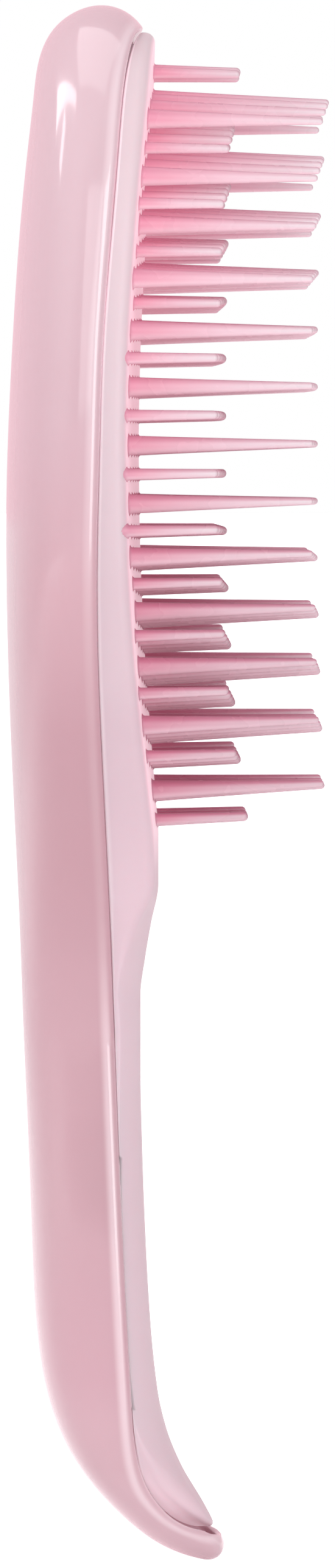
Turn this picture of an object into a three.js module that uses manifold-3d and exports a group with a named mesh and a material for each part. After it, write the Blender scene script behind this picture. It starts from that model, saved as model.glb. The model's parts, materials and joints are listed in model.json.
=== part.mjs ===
// A hand-held detangling hairbrush. A glossy hollow back shell carries a satin front insert,
// and two tiers of flexible teeth stand on the insert's head, in columns along the brush.
//
// Units are millimetres. +Z runs along the brush to the top of the head, +X is the way the
// teeth point, and Y runs across it. The origin is the middle of the flat thumb land on the
// front of the handle.

import * as THREE from 'three';
import { mergeVertices } from 'three/addons/utils/BufferGeometryUtils.js';
import Module from 'manifold-3d';

const wasm = await Module();
wasm.setup();

// ---- driving dimensions ---------------------------------------------------------------------

const HEAD_HALF_WIDTH = 35;       // widest half-width of the head
const HEAD_WIDEST_Z = 88;         // height of the head's widest line
const HEAD_TOP_Z = 149;           // top of the head
const HEAD_ROUNDNESS = 2.3;       // superellipse power of the head's outline above its widest line
const HANDLE_END_HALF_WIDTH = 15.2;
const HANDLE_END_Z = -55;         // where the handle's outline starts to round off
const TIP_Z = -76;                // lowest point of the handle

const SHELL_WALL = 2;             // wall of the back shell
const SECTION_ROUNDNESS = 2.25;   // superellipse power of the shell's cross-section
const RIB_THICKNESS = 1.4;        // moulded cross ribs inside the shell
const RIB_HEIGHT = 6;
const RIB_LEVELS = [-42, -14, 16, 58, 100];

const SEAM_GAP = 0.3;             // clearance between shell and insert along the seam
const INSERT_STEP = 0.5;          // how far the insert stands in from the shell's rim
const INSERT_HALF_WIDTH = 33.7;
const INSERT_TOP_Z = 145.1;
const INSERT_END_Z = -71.2;
const INSERT_ROUNDNESS = 2.55;
const INSERT_SKIN = 2.2;          // thickness of the insert's front
const INSERT_WALL = 2.6;          // thickness of its side wall
const TONGUE_INSET = 1.6;         // the tongue that locates the insert inside the shell
const TONGUE_DEPTH = 2.2;
const TONGUE_CLEARANCE = 0.4;

const FRONT_X = 40;               // planes well in front of the brush and well behind it
const BEHIND_X = -30;

const LAND_HALF_WIDTH = 5.5;      // flat thumb land, level with x = 0
const HANDLE_CROWN = 2.9;         // how far the handle's front falls from the land to its edge
const PAD_CROWN = 1.7;            // how far the head's front falls at PAD_CROWN_AT from the middle
const PAD_CROWN_AT = 33;

const COLUMN_PITCH = 4.9;         // spacing of columns in one tier; the tiers are half of it apart
const ROW_PITCH = 8.33;           // spacing of rows in one tier
const ROOT_CLEARANCE = 0.6;       // gap between a column's root web and the insert
const WEB_HEIGHT = 0.9;           // thin web that joins the roots of a column's teeth
const WEB_HALF_WIDTH = 0.3;
const WEB_STEPS = 6;              // straight pieces of the web along the column
const ROOT_RISE = 0.3;            // height of the teeth's undersides above the web's
const TOOTH_SIDES = 6;
const TOOTH_TURN = 0.07;          // turn of each six-sided tooth, so its corners don't line up

const LONG = {
  name: 'long_teeth_column', columns: 13, rows: 13, firstRowZ: 135.4, margin: 3.2,
  rootRadius: 1.4, tipRadius: 0.5,
};
const SHORT = {
  name: 'short_teeth_column', columns: 14, rows: 14, firstRowZ: 139.6, margin: 1.3,
  rootRadius: 0.85, tipRadius: 0.62,
};

// ---- profiles -------------------------------------------------------------------------------

// Smooth curve through [position, value] stations, with no overshoot between them.
function profile(stations) {
  const last = stations.length - 1;
  const slope = [];
  for (let i = 0; i < last; i++) {
    slope.push((stations[i + 1][1] - stations[i][1]) / (stations[i + 1][0] - stations[i][0]));
  }
  const tangent = stations.map((_, i) => {
    if (i === 0) return slope[0];
    if (i === last) return slope[last - 1];
    if (slope[i - 1] * slope[i] <= 0) return 0;
    return 2 * slope[i - 1] * slope[i] / (slope[i - 1] + slope[i]);
  });
  return (at) => {
    if (at <= stations[0][0]) return stations[0][1];
    if (at >= stations[last][0]) return stations[last][1];
    let i = 0;
    while (at > stations[i + 1][0]) i++;
    const span = stations[i + 1][0] - stations[i][0];
    const t = (at - stations[i][0]) / span;
    const t2 = t * t;
    const t3 = t2 * t;
    return (2 * t3 - 3 * t2 + 1) * stations[i][1] + (t3 - 2 * t2 + t) * span * tangent[i]
      + (3 * t2 - 2 * t3) * stations[i + 1][1] + (t3 - t2) * span * tangent[i + 1];
  };
}

const smoothStep = (from, to, at) => THREE.MathUtils.smoothstep(at, from, to);

// Half-width of the handle and of the lower head, seen from the front.
const bodyHalfWidth = profile([
  [HANDLE_END_Z, HANDLE_END_HALF_WIDTH], [-30, 15], [-10, 14.2], [0, 14], [10, 15], [20, 18.2],
  [30, 22.6], [41, 27.6], [55, 32], [70, 34.3], [HEAD_WIDEST_Z, HEAD_HALF_WIDTH],
]);

function superOutline(half, reach, power, distance) {
  const share = Math.min(1, Math.max(0, distance / reach));
  return half * Math.pow(1 - Math.pow(share, power), 1 / power);
}

function halfWidth(z) {
  if (z > HEAD_WIDEST_Z) {
    const reach = HEAD_TOP_Z - HEAD_WIDEST_Z;
    return superOutline(HEAD_HALF_WIDTH, reach, HEAD_ROUNDNESS, z - HEAD_WIDEST_Z);
  }
  if (z < HANDLE_END_Z) {
    return superOutline(HANDLE_END_HALF_WIDTH, HANDLE_END_Z - TIP_Z, 2, HANDLE_END_Z - z);
  }
  return bodyHalfWidth(z);
}

// Half-width of the front insert, which stands in from the shell all round.
function insertHalfWidth(z) {
  const share = (INSERT_HALF_WIDTH + INSERT_STEP) / HEAD_HALF_WIDTH;
  if (z > HEAD_WIDEST_Z) {
    const reach = INSERT_TOP_Z - HEAD_WIDEST_Z;
    return superOutline(INSERT_HALF_WIDTH, reach, INSERT_ROUNDNESS, z - HEAD_WIDEST_Z);
  }
  if (z < HANDLE_END_Z) {
    const half = share * HANDLE_END_HALF_WIDTH - INSERT_STEP;
    return superOutline(half, HANDLE_END_Z - INSERT_END_Z, 2, HANDLE_END_Z - z);
  }
  return share * bodyHalfWidth(z) - INSERT_STEP;
}

// Seam between the shell and the insert, seen from the side, from the tip to the top: [x, z].
const SEAM = [
  [10.4, -71.5], [7.8, -71.1], [5.1, -69.8], [2.5, -67.3], [0.7, -64.4], [-0.5, -60], [-1.2, -52.9],
  [-2.2, -35.2], [-2.9, -20], [-3.7, 0], [-4.4, 18], [-5.4, 39.6], [-6, 55], [-6.1, 70], [-5.8, 82],
  [-5.1, 102], [-4.1, 114.5], [-3, 128], [-2.2, 137], [-1.3, 142], [0.3, 145.4],
];

// Middle line of the insert's front, which is hollow along the head: [z, x].
const frontLine = profile([
  [-71.2, 10.9], [-67.8, 8.85], [-62.6, 5.8], [-57.3, 3.7], [-52, 2.5], [-41.4, 1.4], [-25.5, 0.55],
  [-15, 0.2], [-6, 0], [6, 0], [11.5, 0.7], [16.7, 1.6], [22, 2.6], [29, 2.6], [34, 2.25],
  [45, 1.4], [57, 0.55], [70, 0], [86, -0.25], [99, 0], [111, 0.55], [123, 1.2], [135, 1.85],
  [143.5, 2.1],
]);

// Front surface of the insert, as x over (y, z).
function frontSurface(y, z) {
  const head = smoothStep(6, 24, z);
  const pad = PAD_CROWN * (y / PAD_CROWN_AT) ** 2;
  const edge = insertHalfWidth(0) - LAND_HALF_WIDTH;
  const handle = HANDLE_CROWN * (Math.max(0, Math.abs(y) - LAND_HALF_WIDTH) / edge) ** 2;
  return frontLine(z) - head * pad - (1 - head) * handle;
}

// Radius of the insert's front edge.
const frontEdgeRadius = profile([[-71, 0.3], [-62, 0.5], [-50, 1], [10, 1], [40, 1.8], [145, 1.8]]);

// Stations of the shell's full rounded body, from the tip to the top. Each is a section through
// a back point, its widest line and a front point, all [x, z]. The front is cut off at the seam.
const SHELL_STATIONS = [
  { back: [8.6, -75.9], widest: [10.8, -75.5], front: [11.8, -74.9] },
  { back: [5.6, -75], widest: [9, -74.4], front: [12.15, -73.9] },
  { back: [1.8, -73.1], widest: [6.5, -72.4], front: [11.6, -72.2] },
  { back: [-2.8, -69.4], widest: [3.3, -69.3], front: [10.4, -70] },
  { back: [-7, -64.9], widest: [-0.3, -65.2], front: [8.2, -66.2] },
  { back: [-10.6, -59.6], widest: [-2.4, -60], front: [6.6, -60.8] },
  { back: [-13.5, -52], widest: [-3, -52.2], front: [5.8, -52.6] },
  { back: [-15, -43], widest: [-3.5, -43], front: [5.2, -43] },
  { back: [-15.8, -28], widest: [-4.3, -28], front: [4.5, -28] },
  { back: [-16.4, -12], widest: [-5, -12], front: [3.8, -12] },
  { back: [-17, 2], widest: [-5.6, 2], front: [3.2, 2] },
  { back: [-17.5, 16], widest: [-6.1, 16], front: [2.7, 16] },
  { back: [-18.2, 31], widest: [-6.8, 31], front: [2, 31] },
  { back: [-18.9, 47], widest: [-7.5, 47], front: [1.4, 47] },
  { back: [-19.35, 64], widest: [-7.8, 64], front: [1, 64] },
  { back: [-19.3, 81], widest: [-7.6, 81], front: [1.2, 81] },
  { back: [-18.6, 98], widest: [-7, 98], front: [1.7, 98] },
  { back: [-17.6, 114], widest: [-6.2, 114], front: [2.6, 114] },
  { back: [-16.4, 127], widest: [-5.4, 127], front: [3.2, 127] },
  { back: [-15.4, 136], widest: [-5, 136], front: [3, 136] },
  { back: [-14.4, 142], widest: [-5, 142], front: [1.9, 142] },
  { back: [-12.6, 145.5], widest: [-5.2, 145.5], front: [0.5, 145.5] },
  { back: [-10.2, 147.6], widest: [-5.4, 147.6], front: [-1.4, 147.6] },
];
const SHELL_TIP = [10.4, -76];
const SHELL_TOP = [-5.6, 149];

// Back of the shell along its middle: x over z.
const backLine = profile(SHELL_STATIONS.map(({ back }) => [back[1], back[0]]));

// ---- solids ---------------------------------------------------------------------------------

// The same surface with points that coincide merged, and without triangles that have no area.
function welded(geometry) {
  const bare = new THREE.BufferGeometry();
  bare.setAttribute('position', geometry.attributes.position);
  bare.setIndex(geometry.index);
  const merged = mergeVertices(bare, 1e-5);
  const order = merged.index.array;
  const kept = [];
  for (let i = 0; i < order.length; i += 3) {
    const [a, b, c] = order.slice(i, i + 3);
    if (a !== b && b !== c && c !== a) kept.push(a, b, c);
  }
  merged.setIndex(kept);
  return merged;
}

function solidFrom(geometry) {
  const merged = welded(geometry);
  return new wasm.Manifold(new wasm.Mesh({
    numProp: 3,
    vertProperties: new Float32Array(merged.attributes.position.array),
    triVerts: new Uint32Array(merged.index.array),
  }));
}

function geometryFrom(solid) {
  const mesh = solid.getMesh();
  const geometry = new THREE.BufferGeometry();
  const positions = new Float32Array(mesh.vertProperties);
  geometry.setAttribute('position', new THREE.BufferAttribute(positions, 3));
  geometry.setIndex(new THREE.BufferAttribute(new Uint32Array(mesh.triVerts), 1));
  const faceted = geometry.toNonIndexed();
  faceted.computeVertexNormals();
  return faceted;
}

function bufferGeometry(points, faces) {
  const geometry = new THREE.BufferGeometry();
  geometry.setAttribute('position', new THREE.Float32BufferAttribute(points.flat(), 3));
  geometry.setIndex(faces.flat());
  return geometry;
}

// Closed solid over a stack of rings with equal point counts, closed by a point at each end.
function loft(rings, firstPoint, lastPoint) {
  const count = rings[0].length;
  const points = rings.flat();
  const faces = [];
  for (let r = 0; r + 1 < rings.length; r++) {
    for (let i = 0; i < count; i++) {
      const next = (i + 1) % count;
      const a = r * count;
      const b = a + count;
      faces.push([a + i, a + next, b + next], [a + i, b + next, b + i]);
    }
  }
  const first = points.push(firstPoint) - 1;
  const last = points.push(lastPoint) - 1;
  const top = (rings.length - 1) * count;
  for (let i = 0; i < count; i++) {
    const next = (i + 1) % count;
    faces.push([first, next, i], [last, top + i, top + next]);
  }
  return bufferGeometry(points, faces);
}

// Prism through the whole width of the brush over an outline of [x, z] points.
function widePrism(outline) {
  const width = 3 * HEAD_HALF_WIDTH;
  const shape = new THREE.Shape(outline.map(([x, z]) => new THREE.Vector2(x, z)));
  const geometry = new THREE.ExtrudeGeometry(shape, { depth: width, bevelEnabled: false });
  geometry.rotateX(Math.PI / 2);
  geometry.translate(0, width / 2, 0);
  return solidFrom(geometry);
}

function box(low, high) {
  const size = high.map((value, i) => value - low[i]);
  const geometry = new THREE.BoxGeometry(...size);
  geometry.translate(...low.map((value, i) => value + size[i] / 2));
  return solidFrom(geometry);
}

// Everything on the teeth's side of the seam, moved forward by an offset along x. Past its ends
// the seam runs on: forwards at the tip, and up and forwards at the top.
function inFrontOfSeam(offset) {
  const seam = SEAM.map(([x, z]) => [x + offset, z]);
  const [endX, endZ] = seam[0];
  const [topX, topZ] = seam[seam.length - 1];
  const aboveTop = topZ + 12;
  return widePrism([
    [endX + 20, endZ - 1], [FRONT_X, endZ - 1], [FRONT_X, aboveTop], [topX + 12, aboveTop],
    [topX + 3, topZ + 1.5], ...seam.slice().reverse(),
  ]);
}

// ---- back shell -----------------------------------------------------------------------------

const RING_POINTS = 28;

function stationRing(station, wall) {
  const [bx, bz] = station.back;
  const [mx, mz] = station.widest;
  const [fx, fz] = station.front;
  const half = halfWidth(mz) - wall;
  const back = new THREE.Vector2(bx - mx, bz - mz);
  back.setLength(back.length() - wall);
  const power = 2 / SECTION_ROUNDNESS;
  const ring = [];
  for (let i = 0; i < RING_POINTS; i++) {
    const angle = 2 * Math.PI * i / RING_POINTS;
    const along = Math.pow(Math.abs(Math.cos(angle)), power);
    const across = Math.sign(Math.sin(angle)) * Math.pow(Math.abs(Math.sin(angle)), power);
    const towards = Math.cos(angle) > 0 ? { x: fx - mx, y: fz - mz } : back;
    ring.push([mx + towards.x * along, half * across, mz + towards.y * along]);
  }
  return ring;
}

function middleOf(ring) {
  const sum = ring.reduce((total, point) => total.map((value, i) => value + point[i]), [0, 0, 0]);
  return sum.map((value) => value / ring.length);
}

function backShellSolid() {
  const outerRings = SHELL_STATIONS.map((station) => stationRing(station, 0));
  const outer = solidFrom(loft(
    outerRings, [SHELL_TIP[0], 0, SHELL_TIP[1]], [SHELL_TOP[0], 0, SHELL_TOP[1]],
  ));
  const innerRings = SHELL_STATIONS.slice(4, -3).map((station) => stationRing(station, SHELL_WALL));
  const inner = solidFrom(loft(innerRings, middleOf(innerRings[0]), middleOf(innerRings.at(-1))));
  const body = outer.subtract(inFrontOfSeam(0));
  let shell = body.subtract(inner);
  for (const level of RIB_LEVELS) {
    const back = backLine(level);
    const slab = box(
      [back - 5, -HEAD_HALF_WIDTH, level],
      [back + RIB_HEIGHT, HEAD_HALF_WIDTH, level + RIB_THICKNESS],
    );
    shell = shell.add(body.intersect(slab));
  }
  const pocket = pillow(TONGUE_INSET - TONGUE_CLEARANCE, 0, BEHIND_X)
    .intersect(inFrontOfSeam(-TONGUE_DEPTH - TONGUE_CLEARANCE));
  return shell.subtract(pocket);
}

// ---- front insert ---------------------------------------------------------------------------

// Heights at which the insert's outline is sampled, from its end to its top.
const OUTLINE_LEVELS = [
  INSERT_END_Z, -70.8, -69.4, -67, -63, -57, -49, -38, -26, -14, -5, 5, 11, 16, 21, 27, 35, 45, 57,
  72, 88, 104, 118, 128, 135, 140, 143, 144.6, INSERT_TOP_Z,
];

// Outline of the insert moved in by an inset, as [y, z] on the +Y side, from its end to its top.
function insetOutline(inset) {
  const raw = OUTLINE_LEVELS.map((z) => [insertHalfWidth(z), z]);
  const spacing = 1e-3;
  return raw.map(([y, z], i) => {
    if (i === 0) return [0, z + inset];
    if (i === raw.length - 1) return [0, z - inset];
    const before = raw[i - 1];
    const after = raw[i + 1];
    const normal = new THREE.Vector2(after[1] - before[1], before[0] - after[0]).normalize();
    const lowest = INSERT_END_Z + inset + i * spacing;
    const highest = INSERT_TOP_Z - inset - (raw.length - i) * spacing;
    const movedZ = THREE.MathUtils.clamp(z - normal.y * inset, lowest, highest);
    return [Math.max(0.01, y - normal.x * inset), movedZ];
  });
}

// Solid whose front follows the insert's front, lowered by drop, with a rounded front edge,
// whose side wall stands in from the insert's outline by inset, and whose back is flat at backX.
function pillow(inset, drop, backX) {
  const roundSteps = [0, 0.25, 0.6, 1];
  const wall = insetOutline(inset);
  const edge = wall.map(([, z]) => frontEdgeRadius(z));
  const flat = insetOutline(inset + 1).map(([y, z], i) => {
    const share = edge[i];
    return [wall[i][0] + (y - wall[i][0]) * share, wall[i][1] + (z - wall[i][1]) * share];
  });
  const loops = [wall.map(([y, z]) => [backX, y, z])];
  for (const step of roundSteps) {
    loops.push(wall.map(([y, z], i) => {
      const radius = edge[i];
      const height = Math.sqrt(1 - (1 - step) ** 2) * radius - radius;
      const top = frontSurface(flat[i][0], flat[i][1]) - drop;
      return [top + height, y + (flat[i][0] - y) * step, z + (flat[i][1] - z) * step];
    }));
  }
  // A line along the land's edge and the head's middle, and the spine at y = 0.
  const inner = flat.map(([y, z]) => {
    const target = THREE.MathUtils.lerp(LAND_HALF_WIDTH, 0.55 * y, smoothStep(6, 24, z));
    const at = Math.min(y * 0.8, target);
    return [frontSurface(at, z) - drop, at, z];
  });
  loops.push(inner);
  const points = [];
  const faces = [];
  const count = wall.length;
  const index = loops.map((loop) => [1, -1].map((side) => loop.map(([x, y, z], i) => {
    const onMiddle = i === 0 || i === count - 1;
    return points.push([x, onMiddle ? 0 : side * y, z]) - 1;
  })));
  const spine = inner.map(([, , z]) => points.push([frontSurface(0, z) - drop, 0, z]) - 1);
  const backSpine = wall.map(([, z]) => points.push([backX, 0, z]) - 1);
  const strip = (near, far, side) => {
    for (let i = 0; i + 1 < count; i++) {
      const quad = [near[i], near[i + 1], far[i + 1], far[i]];
      const ordered = side === 0 ? quad : quad.slice().reverse();
      faces.push([ordered[0], ordered[1], ordered[2]], [ordered[0], ordered[2], ordered[3]]);
    }
  };
  for (const side of [0, 1]) {
    strip(backSpine, index[0][side], side);
    for (let k = 0; k + 1 < loops.length; k++) strip(index[k][side], index[k + 1][side], side);
    strip(index[loops.length - 1][side], spine, side);
  }
  return solidFrom(bufferGeometry(points, faces));
}

function frontInsertSolid() {
  const cap = pillow(0, 0, BEHIND_X).intersect(inFrontOfSeam(SEAM_GAP));
  const tongue = pillow(TONGUE_INSET, INSERT_SKIN / 2, BEHIND_X)
    .intersect(inFrontOfSeam(-TONGUE_DEPTH));
  return cap.add(tongue).subtract(pillow(INSERT_WALL, INSERT_SKIN, BEHIND_X - 5));
}

// ---- teeth ----------------------------------------------------------------------------------

// Rows are straight across the middle of the head and bow towards it near both ends.
function rowBow(z) {
  if (z > 90) return -0.0088 * Math.pow((z - 90) / 45.4, 2.2);
  return 0.003 * Math.min(1, Math.max(0, (75 - z) / 20));
}

// The field of teeth is an oval inside the insert's outline.
function inToothField(y, z, margin) {
  const inside = Math.abs(y) <= insertHalfWidth(z) - margin;
  return inside && z <= 141 - 0.022 * y * y && z >= 28 + 0.0225 * y * y;
}

// Teeth lean a little towards the middle of the head: rise of the tip per length.
const toothLean = (z) => -0.018 + 0.056 * (LONG.firstRowZ - z) / 100;

// Tips of each tier lie on a shallow dome: x over (y, z).
function longTip(y, z) {
  const top = Math.max(0, (z - 100) / 35);
  const low = Math.max(0, (70 - z) / 34);
  return 25.6 + 1.6 * top ** 2 + low ** 1.5 - (1.06 + 1.1 * top ** 2) * (y / 30) ** 2;
}

function shortTip(y, z) {
  return 12.4 + 2.1 * Math.pow(Math.abs(z - 90) / 50, 2.6) - 1.4 * (y / 32.5) ** 2;
}

const tipOf = (tier, y, z) => (tier === LONG ? longTip(y, z) : shortTip(y, z));

function toothRoots(tier, y) {
  const roots = [];
  for (let row = 0; row < tier.rows; row++) {
    const middle = tier.firstRowZ - row * ROW_PITCH;
    const z = middle + rowBow(middle) * y * y;
    if (inToothField(y, z, tier.margin)) roots.push(z);
  }
  return roots;
}

function toothSolid(tier, y, z, rootX) {
  const tipX = tipOf(tier, y, z);
  const length = tipX - rootX;
  const geometry = new THREE.LatheGeometry([
    new THREE.Vector2(0, 0), new THREE.Vector2(tier.rootRadius, 0),
    new THREE.Vector2(tier.tipRadius, length - tier.tipRadius * 0.8), new THREE.Vector2(0, length),
  ], TOOTH_SIDES);
  geometry.rotateY(TOOTH_TURN);
  geometry.rotateZ(-Math.PI / 2);
  geometry.rotateY(-Math.atan(toothLean(z)));
  geometry.translate(rootX, y, z);
  return solidFrom(geometry);
}

// Thin strip along a column at y, from the z low to the z high, over its underside's line.
function rootWeb(y, low, high, under) {
  const levels = [];
  for (let i = 0; i <= WEB_STEPS; i++) levels.push(low + (high - low) * i / WEB_STEPS);
  const shape = new THREE.Shape([
    ...levels.map((z) => new THREE.Vector2(under(z), z)),
    ...levels.reverse().map((z) => new THREE.Vector2(under(z) + WEB_HEIGHT, z)),
  ]);
  const options = { depth: 2 * WEB_HALF_WIDTH, bevelEnabled: false };
  const geometry = new THREE.ExtrudeGeometry(shape, options);
  geometry.rotateX(Math.PI / 2);
  geometry.translate(0, y + WEB_HALF_WIDTH, 0);
  return solidFrom(geometry);
}

function columnSolid(tier, y) {
  const roots = toothRoots(tier, y);
  const innerSide = Math.max(0, Math.abs(y) - WEB_HALF_WIDTH);
  const under = (z) => frontSurface(innerSide, z) + ROOT_CLEARANCE;
  const low = roots.at(-1) - tier.rootRadius;
  const high = roots[0] + tier.rootRadius;
  const web = rootWeb(y, low, high, under);
  return roots.reduce(
    (column, z) => column.add(toothSolid(tier, y, z, under(z) + ROOT_RISE)), web,
  );
}

// ---- assembly -------------------------------------------------------------------------------

const shellPlastic = new THREE.MeshStandardMaterial({ color: '#ecc9cf', roughness: 0.18, metalness: 0 });
const insertPlastic = new THREE.MeshStandardMaterial({ color: '#e6c6cd', roughness: 0.5, metalness: 0 });
const toothPlastic = new THREE.MeshStandardMaterial({ color: '#f0bccb', roughness: 0.35, metalness: 0 });

function namedMesh(name, solid, material) {
  const mesh = new THREE.Mesh(geometryFrom(solid), material);
  mesh.name = name;
  return mesh;
}

function toothTier(tier) {
  const group = new THREE.Group();
  for (let column = 0; column < tier.columns; column++) {
    const y = (column - (tier.columns - 1) / 2) * COLUMN_PITCH;
    const name = `${tier.name}_${String(column + 1).padStart(2, '0')}`;
    group.add(namedMesh(name, columnSolid(tier, y), toothPlastic));
  }
  return group;
}

const brush = new THREE.Group();
brush.add(namedMesh('back_shell', backShellSolid(), shellPlastic));
brush.add(namedMesh('front_insert', frontInsertSolid(), insertPlastic));
brush.add(toothTier(LONG));
brush.add(toothTier(SHORT));

export default brush;
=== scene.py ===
import json
import math

import bmesh
import bpy
import numpy as np
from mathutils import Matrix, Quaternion, Vector
from mathutils.bvhtree import BVHTree

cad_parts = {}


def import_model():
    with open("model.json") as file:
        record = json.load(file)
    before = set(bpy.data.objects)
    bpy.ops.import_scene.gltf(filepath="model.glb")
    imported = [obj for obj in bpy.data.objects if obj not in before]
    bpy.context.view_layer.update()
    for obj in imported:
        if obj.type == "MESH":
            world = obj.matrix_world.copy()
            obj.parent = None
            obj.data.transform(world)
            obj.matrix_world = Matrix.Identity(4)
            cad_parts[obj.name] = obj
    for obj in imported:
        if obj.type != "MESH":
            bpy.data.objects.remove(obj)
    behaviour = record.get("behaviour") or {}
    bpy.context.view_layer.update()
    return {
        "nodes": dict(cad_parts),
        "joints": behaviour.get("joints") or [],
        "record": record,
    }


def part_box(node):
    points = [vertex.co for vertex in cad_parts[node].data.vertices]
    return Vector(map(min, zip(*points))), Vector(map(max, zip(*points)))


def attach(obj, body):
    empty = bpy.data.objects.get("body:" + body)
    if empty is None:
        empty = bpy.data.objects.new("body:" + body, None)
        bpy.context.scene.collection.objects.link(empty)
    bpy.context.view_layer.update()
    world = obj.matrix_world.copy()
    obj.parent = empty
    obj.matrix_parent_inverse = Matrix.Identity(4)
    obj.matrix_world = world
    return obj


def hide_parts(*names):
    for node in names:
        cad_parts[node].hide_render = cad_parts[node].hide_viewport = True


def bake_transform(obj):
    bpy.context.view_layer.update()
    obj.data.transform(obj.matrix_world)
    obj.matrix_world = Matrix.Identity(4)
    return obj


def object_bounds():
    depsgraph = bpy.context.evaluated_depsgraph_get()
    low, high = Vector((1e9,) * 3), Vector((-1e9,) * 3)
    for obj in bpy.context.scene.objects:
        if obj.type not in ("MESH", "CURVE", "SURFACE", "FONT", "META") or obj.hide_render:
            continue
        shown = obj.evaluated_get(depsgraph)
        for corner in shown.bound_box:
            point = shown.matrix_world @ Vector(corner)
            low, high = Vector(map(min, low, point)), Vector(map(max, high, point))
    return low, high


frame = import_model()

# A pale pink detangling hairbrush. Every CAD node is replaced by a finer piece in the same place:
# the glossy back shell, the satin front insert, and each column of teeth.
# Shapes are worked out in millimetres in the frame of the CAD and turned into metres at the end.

MM = 0.001
ACROSS = np.array([0.0, 1.0, 0.0])


def box_mm(node):
    low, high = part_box(node)
    return np.array(low) / MM, np.array(high) / MM


SHELL_LOW, SHELL_HIGH = box_mm("back_shell")
INSERT_LOW, INSERT_HIGH = box_mm("front_insert")

# ---- driving dimensions ----------------------------------------------------------------------

TIP_Z = SHELL_LOW[2]
HEAD_TOP_Z = SHELL_HIGH[2]
HEAD_HALF_WIDTH = 35.0
HEAD_WIDEST_Z = 88.0
HEAD_ROUNDNESS = 2.3
FOOT_ROUNDNESS = 2                # 2 makes an ellipse
HANDLE_END_HALF_WIDTH = 15.2
HANDLE_END_Z = -55.0
BODY_HALF_WIDTHS = [
    (HANDLE_END_Z, HANDLE_END_HALF_WIDTH), (-30, 15), (-10, 14.2), (0, 14), (10, 15), (20, 18.2),
    (30, 22.6), (41, 27.6), (55, 32), (70, 34.3), (HEAD_WIDEST_Z, HEAD_HALF_WIDTH),
]

# Seam between shell and insert, seen from the side, from the tip to the top: (x, z).
SEAM = [
    (10.4, -71.5), (7.8, -71.1), (5.1, -69.8), (2.5, -67.3), (0.7, -64.4), (-0.5, -60), (-1.2, -52.9),
    (-2.2, -35.2), (-2.9, -20), (-3.7, 0), (-4.4, 18), (-5.4, 39.6), (-6, 55), (-6.1, 70), (-5.8, 82),
    (-5.1, 102), (-4.1, 114.5), (-3, 128), (-2.2, 137), (-1.3, 142), (0.3, 145.4),
]
SEAM_END_REACH = (5.0, -0.25)     # the seam runs on past its ends until it leaves the shell
SEAM_TOP_REACH = (3.0, 1.5)

# Stations of the shell's rounded body, from the tip to the top: back, widest and front (x, z).
SHELL_STATIONS = [
    ((8.6, -75.9), (10.8, -75.5), (11.8, -74.9)),
    ((5.6, -75), (9, -74.4), (12.15, -73.9)),
    ((1.8, -73.1), (6.5, -72.4), (11.6, -72.2)),
    ((-2.8, -69.4), (3.3, -69.3), (10.4, -70)),
    ((-7, -64.9), (-0.3, -65.2), (8.2, -66.2)),
    ((-10.6, -59.6), (-2.4, -60), (6.6, -60.8)),
    ((-13.5, -52), (-3, -52.2), (5.8, -52.6)),
    ((-15, -43), (-3.5, -43), (5.2, -43)),
    ((-15.8, -28), (-4.3, -28), (4.5, -28)),
    ((-16.4, -12), (-5, -12), (3.8, -12)),
    ((-17, 2), (-5.6, 2), (3.2, 2)),
    ((-17.5, 16), (-6.1, 16), (2.7, 16)),
    ((-18.2, 31), (-6.8, 31), (2, 31)),
    ((-18.9, 47), (-7.5, 47), (1.4, 47)),
    ((-19.35, 64), (-7.8, 64), (1, 64)),
    ((-19.3, 81), (-7.6, 81), (1.2, 81)),
    ((-18.6, 98), (-7, 98), (1.7, 98)),
    ((-17.6, 114), (-6.2, 114), (2.6, 114)),
    ((-16.4, 127), (-5.4, 127), (3.2, 127)),
    ((-15.4, 136), (-5, 136), (3, 136)),
    ((-14.4, 142), (-5, 142), (1.9, 142)),
    ((-12.6, 145.5), (-5.2, 145.5), (0.5, 145.5)),
    ((-10.2, 147.6), (-5.4, 147.6), (-1.4, 147.6)),
]
SHELL_TIP = (10.4, TIP_Z)
SHELL_TOP = (-5.6, HEAD_TOP_Z)
SECTION_FULLNESS = 0.15           # how much fuller than an ellipse the shell's section is
SHELL_WALL = 2.0
SHELL_TIP_WALL = 0.95
TIP_WALL_TO_Z = -72.0             # the wall thickens between these heights
FULL_WALL_FROM_Z = -58.0
RIM_RADIUS = 1.3                  # rolled edge of the shell along the seam
RIM_SETBACK = 1.3                 # how far back from the seam the roll may start
RIM_END_RADIUS = 0.3              # the same where the seam crosses over, at the tip and the top
RIM_END_SETBACK = 0.25
RIM_ROUND_FROM = 4.0              # distances from the middle over which the roll grows
RIM_ROUND_TO = 22.0
RIM_ROUND_TO_ON_HANDLE = 12.0
RIM_SHARE_OF_WALL = 0.8           # the roll's radius is never more than this share of the wall
SHARPEST_CORNER = math.radians(40)
BLUNTEST_CORNER = math.radians(95)
LAND_SHARE = 0.9                  # how much of the wall's edge the flat land inside the roll takes
LEAST_LAND = 0.05
FAN_LOW_Z = -58.0                 # centres of the round ends of the shell's mesh
FAN_HIGH_Z = 118.0

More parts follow.
